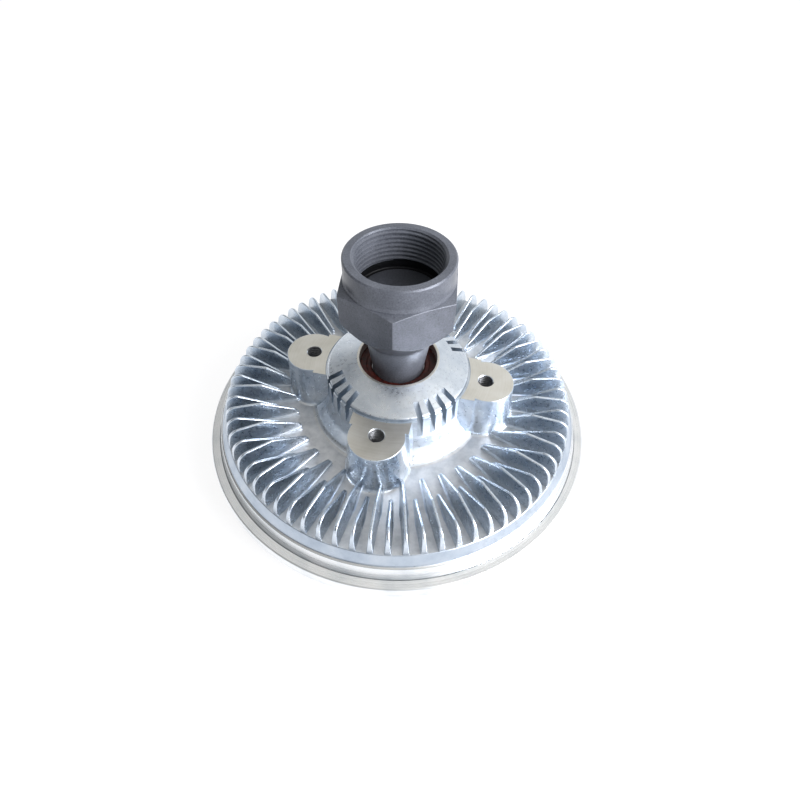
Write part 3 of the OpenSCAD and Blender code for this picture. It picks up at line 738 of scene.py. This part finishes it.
def skin(tree, shader, tint, grain, bump, rough=None):
    """Links the tint, and lets the grain bump the surface and vary its roughness.
    bump gives strength and depth in mm, rough the lowest and highest roughness."""
    tree.links.new(tint.outputs[0], shader.inputs["Base Color"])
    if rough:
        gloss = add(tree, "ShaderNodeMapRange", links=[(0, grain, 0)],
                    values=[(1, 0.3), (2, 0.7), (3, rough[0]), (4, rough[1])])
        tree.links.new(gloss.outputs[0], shader.inputs["Roughness"])
    relief = add(tree, "ShaderNodeBump", links=[("Height", grain, 0)],
                 values=[("Strength", bump[0]), ("Distance", bump[1] * MM)])
    tree.links.new(relief.outputs[0], shader.inputs["Normal"])


print("texture scale for 1 mm:", round(per_mm(1)))

# %% [markdown]
# ### Cast aluminium
#
# A die casting leaves the mould with a fine orange-peel skin, soft grey stains from the
# release agent and a faint grain. Aluminium is a metal, so it shows its surroundings; the
# skin makes that reflection soft. Two noise textures do this, a wide one for the stains and
# a fine one for the skin. The floor has a tone of its own. Flutes, bores and the rim slope get
# darker tones as painted shade, and the fins are painted darker towards their feet.

# %% Cast aluminium
CAST_STOPS = (0.3, 0.5, 0.72)


def cast_aluminium(name, colours, roughness, stain, painted_shade_heights=None):
    """Cast skin in a dark, a middle and a pale tone, with stains this many mm wide.
    With heights as (low, high) in mm it darkens downwards, a painted shade between fins."""
    material, tree, shader, place = finish_of(name, 1.0, roughness)
    blotch = add(tree, "ShaderNodeTexNoise", links=[(0, place, "Object")],
                 values=[("Scale", per_mm(stain)), ("Detail", 5.0), ("Roughness", 0.6)])
    tint = add(tree, "ShaderNodeValToRGB", links=[(0, blotch, 0)],
               stops=list(zip(CAST_STOPS, colours)))
    # Painted shade: the tone is darkened towards the bottom, between the fins.
    if painted_shade_heights:
        height = add(tree, "ShaderNodeSeparateXYZ", links=[(0, place, "Object")])
        shade = add(tree, "ShaderNodeMapRange", links=[(0, height, "Z")],
                    values=[(1, painted_shade_heights[0] * MM), (2, painted_shade_heights[1] * MM), (3, 0.7), (4, 1.0)])
        tint = add(tree, "ShaderNodeVectorMath", operation="SCALE",
                   links=[(0, tint, 0), ("Scale", shade, 0)])
    grain = add(tree, "ShaderNodeTexNoise", links=[(0, place, "Object")],
                values=[("Scale", per_mm(1.4)), ("Detail", 3.0), ("Roughness", 0.6)])
    skin(tree, shader, tint, grain, bump=(0.27, 0.12), rough=(roughness - 0.08, roughness + 0.1))
    return material


cast = cast_aluminium("die_cast_aluminium", ("#c8d1dc", "#dae2eb", "#e7edf3"), 0.32, stain=9)
# Fins: cast tone, painted darker towards their feet as painted shade.
fin_cast_painted_shade = cast_aluminium("fin_aluminium_painted_shade", ("#c6d2e0", "#d9e3ee", "#e7eef6"), 0.3, stain=9,
                          painted_shade_heights=(38, 46))
# Painted shade: a darker, bluer tone on the slope beside the rim.
rim_slope_painted_shade = cast_aluminium("rim_slope_painted_shade_aluminium", ("#a7b3c2", "#b9c4d1", "#c8d0da"), 0.34,
                            stain=12)
# Painted shade: a darker tone inside the flutes.
flute_painted_shade = cast_aluminium("flute_painted_shade_aluminium", ("#98a2ae", "#acb6c1", "#c0c9d2"), 0.36, stain=6)
# Painted shade: a dark tone inside the tapped holes.
bore_painted_shade = cast_aluminium("tapped_bore_painted_shade_aluminium", ("#5c5e61", "#75777a", "#8d8f92"), 0.36,
                           stain=3)
floor_cast = cast_aluminium("valley_floor_aluminium", ("#bfc3c8", "#d3d6da", "#e3e5e8"), 0.42,
                            stain=5)
cover_cast = cast_aluminium("front_cover_aluminium", ("#c4c8cd", "#d5d8db", "#e1e3e5"), 0.34,
                            stain=14)
print("finishes:", len(bpy.data.materials))

# %% [markdown]
# ### Turned aluminium
#
# The fan seats, the mouth of the collar and the rim are cut on a lathe. The tool leaves fine
# rings about the axis that break up the reflection. Real ones lie about a tenth of a
# millimetre apart. That is too fine to show, so they are drawn about half a millimetre apart,
# by a noise that runs along radius and height.

# %% Turned aluminium
TURNED_STOPS = (0.35, 0.5, 0.65)


def turned_metal(name, colours, roughness, feed):
    """Bare metal in a dark, a middle and a pale tone, with tool rings this many mm apart."""
    material, tree, shader, place = finish_of(name, 1.0, roughness)
    across = add(tree, "ShaderNodeVectorMath", operation="MULTIPLY",
                 links=[(0, place, "Object")], values=[(1, (1, 1, 0))])
    radius = add(tree, "ShaderNodeVectorMath", operation="LENGTH", links=[(0, across, 0)])
    height = add(tree, "ShaderNodeSeparateXYZ", links=[(0, place, "Object")])
    path = add(tree, "ShaderNodeMath", operation="ADD",
               links=[(0, radius, "Value"), (1, height, "Z")])
    lines = add(tree, "ShaderNodeTexNoise", noise_dimensions="1D", links=[("W", path, 0)],
                values=[("Scale", per_mm(feed)), ("Detail", 2.0)])
    blotch = add(tree, "ShaderNodeTexNoise", links=[(0, place, "Object")],
                 values=[("Scale", per_mm(11)), ("Detail", 4.0)])
    line_share = add(tree, "ShaderNodeMath", operation="MULTIPLY", links=[(0, lines, 0)],
                     values=[(1, 0.3)])
    blotch_share = add(tree, "ShaderNodeMath", operation="MULTIPLY", links=[(0, blotch, 0)],
                       values=[(1, 0.7)])
    both = add(tree, "ShaderNodeMath", operation="ADD",
               links=[(0, line_share, 0), (1, blotch_share, 0)])
    tint = add(tree, "ShaderNodeValToRGB", links=[(0, both, 0)],
               stops=list(zip(TURNED_STOPS, colours)))
    skin(tree, shader, tint, lines, bump=(0.25, 0.02), rough=(roughness - 0.06, roughness + 0.08))
    return material


machined = turned_metal("turned_aluminium", ("#d8d6cc", "#e4e2da", "#ecebe5"), 0.4, feed=0.5)
rim_turned = turned_metal("turned_rim_aluminium", ("#e0e4e8", "#eef1f3", "#f5f6f8"), 0.28,
                          feed=0.6)
print("finishes:", len(bpy.data.materials))

# %% [markdown]
# ### Phosphated steel
#
# The forged hub has a dark grey phosphate coat, a crystalline skin that is duller than bare
# steel. Little of the metal shows through it, so the shader is only partly metallic and its
# specular level is low. The crystals are too fine to show, so the grain is drawn 0.7 mm
# wide. The socket's floor and the relief below its thread get darker tones: painted shade
# in the deep socket.

# %% Phosphated steel
PHOSPHATE_STOPS = (0.36, 0.5, 0.64)


def phosphated(name, colours, roughness):
    """A phosphate coat in a dark, a middle and a pale tone."""
    material, tree, shader, place = finish_of(name, 0.3, roughness, Specular_IOR_Level=0.277)
    grain = add(tree, "ShaderNodeTexNoise", links=[(0, place, "Object")],
                values=[("Scale", per_mm(0.7)), ("Detail", 4.0), ("Roughness", 0.7)])
    blotch = add(tree, "ShaderNodeTexNoise", links=[(0, place, "Object")],
                 values=[("Scale", per_mm(14)), ("Detail", 4.0)])
    grain_share = add(tree, "ShaderNodeMath", operation="MULTIPLY", links=[(0, grain, 0)],
                      values=[(1, 0.55)])
    blotch_share = add(tree, "ShaderNodeMath", operation="MULTIPLY", links=[(0, blotch, 0)],
                       values=[(1, 0.45)])
    both = add(tree, "ShaderNodeMath", operation="ADD",
               links=[(0, grain_share, 0), (1, blotch_share, 0)])
    tint = add(tree, "ShaderNodeValToRGB", links=[(0, both, 0)],
               stops=list(zip(PHOSPHATE_STOPS, colours)))
    skin(tree, shader, tint, grain, bump=(0.4, 0.08), rough=(roughness - 0.06, roughness + 0.1))
    return material


steel = phosphated("phosphated_steel", ("#5c6069", "#6d717a", "#7f838d"), 0.32)
# Painted shade: a darker tone on the floor of the deep socket.
socket_floor_painted_shade = phosphated("socket_floor_painted_shade_steel", ("#45484f", "#51545b", "#5f626a"), 0.36)
# Painted shade: a near-black tone in the relief below the thread.
relief_painted_shade = phosphated("relief_painted_shade_steel", ("#141517", "#1d1e21", "#28292d"), 0.4)
print("finishes:", len(bpy.data.materials))

# %% [markdown]
# ### Rubber
#
# The seal is nitrile rubber, coloured red-brown, moulded matt and a little dusty. Rubber is
# no metal, so it has no mirror image to break up. One noise is enough: it tints the dust
# and gives the surface a slight relief.

# %% Rubber
def rubber(name, stops, roughness):
    """A moulded skin, with (position, hex) stops from clean to dusty."""
    material, tree, shader, place = finish_of(name, 0.0, roughness, IOR=1.42)
    dust = add(tree, "ShaderNodeTexNoise", links=[(0, place, "Object")],
               values=[("Scale", per_mm(2.5)), ("Detail", 5.0), ("Roughness", 0.65)])
    tint = add(tree, "ShaderNodeValToRGB", links=[(0, dust, 0)], stops=stops)
    skin(tree, shader, tint, dust, bump=(0.3, 0.05))
    return material


seal_rubber = rubber("red_brown_rubber",
                     [(0.35, "#2b0e0b"), (0.55, "#481812"), (0.72, "#5d251c")], 0.45)
black_rubber = rubber("black_rubber",
                      [(0.35, "#17181a"), (0.55, "#222326"), (0.75, "#303134")], 0.5)
print("finishes:", len(bpy.data.materials))

# %% [markdown]
# ## Put the finishes on
#
# A finish can follow the way a face was made. Faces of the housing that the lathe cut are
# found by their place and normal: the fan seats, the mouth of the collar and the rim band.
# The valley floor gets a cast tone of its own. The tapped bores, the slope beside the rim and
# the flutes get darker tones, painted shade, and the fins are painted darker towards their
# feet, also painted shade. The rest is left plain as cast.

# %% Tell the faces of housing and hub apart
bolt_spots = [Vector((BOLT_AT * math.cos(math.radians(a)), BOLT_AT * math.sin(math.radians(a))))
              for a in boss_turns]


def dome_z(r):
    """Height of the collar's sloping top at a radius."""
    (r_in, z_in), (r_out, z_out) = DOME_IN, DOME_OUT
    return z_in + (z_out - z_in) * (r - r_in) / (r_out - r_in)


def housing_finish(c, n):
    """The finish of a housing face with this centre in mm and this normal."""
    r = c.xy.length
    if c.z < SEAT_Z - 0.4 and any((c.xy - spot).length < 4.2 for spot in bolt_spots):
        return bore_painted_shade
    if 50.5 < r < 86 and c.z > 38.6:
        return fin_cast_painted_shade
    if 85.4 < r < 88.6 and c.z > 32:
        return rim_slope_painted_shade
    if n.z > 0.95 and abs(c.z - SEAT_Z) < 0.3 and r > 33:
        return machined
    if r < 19.6 and c.z > 60:
        return machined
    if 22 < r < 33.6 and 44 < c.z < dome_z(r) - 0.35:
        return flute_painted_shade
    if r > 87.9 and c.z < 33.2:
        return rim_turned
    if n.z > 0.95 and c.z < 39 and r < 80:
        return floor_cast
    return cast


def hub_finish(c, n):
    """The finish of a hub face: painted shade in the relief and on the socket's floor, or the rest.
    """
    r = c.xy.length
    if 17.3 < r < 19.6 and 101 < c.z < 105.7:
        return relief_painted_shade
    return socket_floor_painted_shade if r < 17.5 and 101 < c.z < 102.4 else steel


print("dome at its edge:", round(dome_z(DOME_OUT[0]), 2), "mm high")


# %% Give the housing, the hub, the seal and the cover their finishes
def dress(piece, finishes, which=None, smooth=35):
    """Gives each face the finish that which(centre, normal) returns, or else the first one,
    and smooths the piece up to an angle."""
    piece.data.materials.clear()
    for material in finishes:
        piece.data.materials.append(material)
    for face in piece.data.polygons:
        chosen = which(face.center / MM, face.normal) if which else finishes[0]
        face.material_index = finishes.index(chosen)
    only(piece)
    bpy.ops.object.shade_smooth_by_angle(angle=math.radians(smooth))
    weighted = piece.modifiers.new("weighted", "WEIGHTED_NORMAL")
    weighted.keep_sharp = True
    bpy.ops.object.modifier_apply(modifier=weighted.name)


dress(housing, [cast, machined, rim_turned, floor_cast, fin_cast_painted_shade, rim_slope_painted_shade, bore_painted_shade,
                flute_painted_shade], housing_finish)
dress(hub, [steel, socket_floor_painted_shade, relief_painted_shade], hub_finish, smooth=30)
dress(seal, [seal_rubber])
dress(cover, [cover_cast, rim_turned],
      lambda c, n: rim_turned if c.xy.length > 90.9 and c.z > 17.5 else cover_cast)
for piece, node, body in ((housing, "housing", "housing_body"), (hub, "hub_shaft", "input_shaft"),
                          (seal, "bearing_seal_rear", "housing_body"),
                          (cover, "front_cover", "housing_body")):
    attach(piece, body)
    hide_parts(node)
    print(piece.name, "takes the place of", node)

# %% [markdown]
# The pieces inside keep their CAD shapes, which are right already, and get the finish of
# the real ones: ground and polished bearing steel, tan nylon cages, a bronze bush and plated
# sheet steel.

# %% Dress the CAD nodes that stay
ground_steel = turned_metal("ground_bearing_steel", ("#a4a7ab", "#b8bbbe", "#c8cacc"), 0.22,
                            feed=0.3)
ball_steel = turned_metal("polished_ball_steel", ("#b6b9bc", "#c5c8ca", "#d2d4d5"), 0.12,
                          feed=0.3)
spring_steel = phosphated("spring_steel", ("#3c3e42", "#4c4e53", "#5d6065"), 0.34)
plated_steel = cast_aluminium("zinc_plated_steel", ("#adb0b1", "#c0c2c1", "#cfcfca"), 0.28,
                              stain=6)
bronze = turned_metal("sintered_bronze", ("#94703f", "#a8814c", "#b9935d"), 0.38, feed=0.4)
nylon = rubber("tan_nylon", [(0.35, "#ad8b5b"), (0.55, "#c09c69"), (0.72, "#ccab7a")], 0.42)
kept = {
    "cover_seal": black_rubber, "bearing_outer_ring": ground_steel,
    "bearing_inner_ring": ground_steel, "bearing_balls": ball_steel, "bearing_cages": nylon,
    "bearing_seal_front": seal_rubber, "bearing_circlip": spring_steel, "rotor": machined,
    "rotor_circlip": spring_steel, "separator_plate": plated_steel,
    "separator_rivets": plated_steel, "valve_bushing": bronze, "valve_shaft": ground_steel,
    "valve_arm": plated_steel, "valve_oring": black_rubber,
}
for name, material in kept.items():
    mesh = frame["nodes"][name].data
    mesh.materials.clear()
    mesh.materials.append(material)
print("dressed", len(kept), "CAD nodes")

# %% [markdown]
# The coil is a rolled strip of two metals, with a warm brassy face. The tab rides on the
# valve and the turns on the housing. The inner half turn keeps its place, on neither body.

# %% Dress the coil and place its pieces
bimetal = turned_metal("bimetal_strip", ("#937e57", "#a58f66", "#b5a079"), 0.34, feed=0.5)
for piece in (coil_tab, coil_inner, coil_turns):
    dress(piece, [bimetal])
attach(coil_tab, "valve")
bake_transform(coil_inner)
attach(coil_turns, "housing_body")
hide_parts("bimetal_coil")
print("the coil winds from", round(tab_end[0], 2), "to", -COIL_R, "mm along X")

# %% [markdown]
# ## Studio
#
# The floor is plain paper. It is lit like any surface, and a glow that only the rays of the
# camera, of mirrors and of glass see lifts it to white, but keeps the shadow under the rim.
# That way the background is white and still throws no extra light on the metal.

# %% Floor
FLOOR_GLOW = 0.84
only(None)
bpy.ops.mesh.primitive_plane_add(size=40, location=(0, 0, 0))
ground = bpy.context.object
ground.name = "studio_floor"
material, tree, shader, place = finish_of("studio_paper", 0.0, 0.9, Specular_IOR_Level=0.0)
shader.inputs["Base Color"].default_value = linear("#8e8e90")


def looked_at(tree):
    """A value of 1 for the rays of camera, mirrors and glass, and 0 for those that light things."""
    path = add(tree, "ShaderNodeLightPath")
    direct = add(tree, "ShaderNodeMath", operation="MAXIMUM", links=[
        (0, path, "Is Camera Ray"), (1, path, "Is Glossy Ray")])
    return add(tree, "ShaderNodeMath", operation="MAXIMUM", links=[
        (0, direct, 0), (1, path, "Is Transmission Ray")])


glow = add(tree, "ShaderNodeMath", operation="MULTIPLY", links=[(0, looked_at(tree), 0)],
           values=[(1, FLOOR_GLOW)])
shader.inputs["Emission Color"].default_value = linear("#ffffff")
tree.links.new(glow.outputs[0], shader.inputs["Emission Strength"])
ground.data.materials.append(material)
print("floor:", round(ground.dimensions.x), "m wide")

# %% [markdown]
# The photograph was lit from the right, with a dark room on the left: that is what gives the
# metal its contrast. So the sky is bright overhead and on the right, and dark on the left and
# near the horizon. Its lowest band, where floor and sky meet, is white to the same rays that
# see the floor's glow.

# %% Sky
world = bpy.data.worlds.new("studio_sky")
bpy.context.scene.world = world
world.use_nodes = True
tree = world.node_tree
sky = tree.nodes["Background"]
place = add(tree, "ShaderNodeTexCoord")
way = add(tree, "ShaderNodeSeparateXYZ", links=[(0, place, "Generated")])
upward = add(tree, "ShaderNodeMapRange", links=[(0, way, "Z")])
tint = add(tree, "ShaderNodeValToRGB", links=[(0, upward, 0)], stops=[
    (0.0, "#717b88"), (0.3, "#9da7b3"), (0.6, "#d4d5d5"), (1.0, "#eceae6")])
side = add(tree, "ShaderNodeMapRange", links=[(0, way, "X")],
           values=[(1, -0.65), (2, 0.8), (3, 0.06), (4, 1.6)])
lift = add(tree, "ShaderNodeMapRange", links=[(0, way, "Z")],
           values=[(1, 0.4), (2, 0.9), (3, 0.0), (4, 1.0)])
behind = add(tree, "ShaderNodeVectorMath", operation="DOT_PRODUCT",
             links=[(0, place, "Generated")], values=[(1, (0.8, 0.6, 0))])
wall = add(tree, "ShaderNodeMapRange", links=[(0, behind, "Value")],
           values=[(1, -0.5), (2, 0.6), (3, 0.55), (4, 1.25)])
level = add(tree, "ShaderNodeMix", data_type="FLOAT",
            links=[(0, lift, 0), (2, side, 0), (3, wall, 0)])
band = add(tree, "ShaderNodeMapRange", links=[(0, way, "Z")],
           values=[(1, 0.3), (2, 0.45), (3, 1.0), (4, 0.0)])
white = add(tree, "ShaderNodeMath", operation="MULTIPLY",
            links=[(0, band, 0), (1, looked_at(tree), 0)])
shown = add(tree, "ShaderNodeMix", data_type="RGBA",
            links=[("Factor", white, 0), (6, tint, 0)], values=[(7, linear("#ffffff"))])
power = add(tree, "ShaderNodeMix", data_type="FLOAT",
            links=[(0, white, 0), (2, level, 0)], values=[(3, 1.0)])
tree.links.new(shown.outputs[2], sky.inputs["Color"])
tree.links.new(power.outputs[0], sky.inputs["Strength"])
print("sky:", len(tree.nodes), "nodes")

# %% [markdown]
# One soft lamp stands on the right, a little in front. It gives the bright edges and the
# soft shadow. Its size matters more than its power: a large one gives no hard spots on metal.

# %% Lamp
LAMP_AT, LAMP_AIM = Vector((0.66, -0.40, 0.50)), Vector((0, 0, 0.04))
lamp = bpy.data.lights.new("key_softbox", "AREA")
lamp.shape = "RECTANGLE"
lamp.size = lamp.size_y = 0.6
lamp.energy = 13.0
lamp.color = linear("#fdfcff")[:3]
holder = bpy.data.objects.new("key_softbox", lamp)
bpy.context.scene.collection.objects.link(holder)
holder.location = LAMP_AT
holder.rotation_euler = (LAMP_AIM - LAMP_AT).to_track_quat("-Z", "Y").to_euler()
print("lamp:", lamp.energy, "W")

# %% [markdown]
# ## Camera
#
# The photograph was taken close up, 51 degrees above the horizon, with a wide lens. The
# distance and the focal length were worked out from the circles of rim and nut.

# %% Camera at the photograph's place
PHOTO_PX, FOCAL_PX, SHIFT_PX = 800, 511.2, (2.48, 9.27)
SENSOR_MM = 36
CAMERA_AT, CAMERA_AIM = (0, -0.1686, 0.2371), (0, 0, 0.026)
ROLL = math.radians(0.84)
lens = bpy.data.cameras.new("photo_camera")
lens.sensor_width = SENSOR_MM
lens.lens = FOCAL_PX / PHOTO_PX * SENSOR_MM
lens.shift_x, lens.shift_y = (shift / PHOTO_PX for shift in SHIFT_PX)
lens.clip_start = 0.01
camera = bpy.data.objects.new("photo_camera", lens)
bpy.context.scene.collection.objects.link(camera)
camera.location = CAMERA_AT
aim = (Vector(CAMERA_AIM) - camera.location).to_track_quat("-Z", "Y")
camera.rotation_euler = (aim.to_matrix() @ Matrix.Rotation(ROLL, 3, "Z")).to_euler()
bpy.context.scene.camera = camera
bpy.context.scene.view_settings.view_transform = "Standard"
print("focal length:", round(lens.lens, 1), "mm")
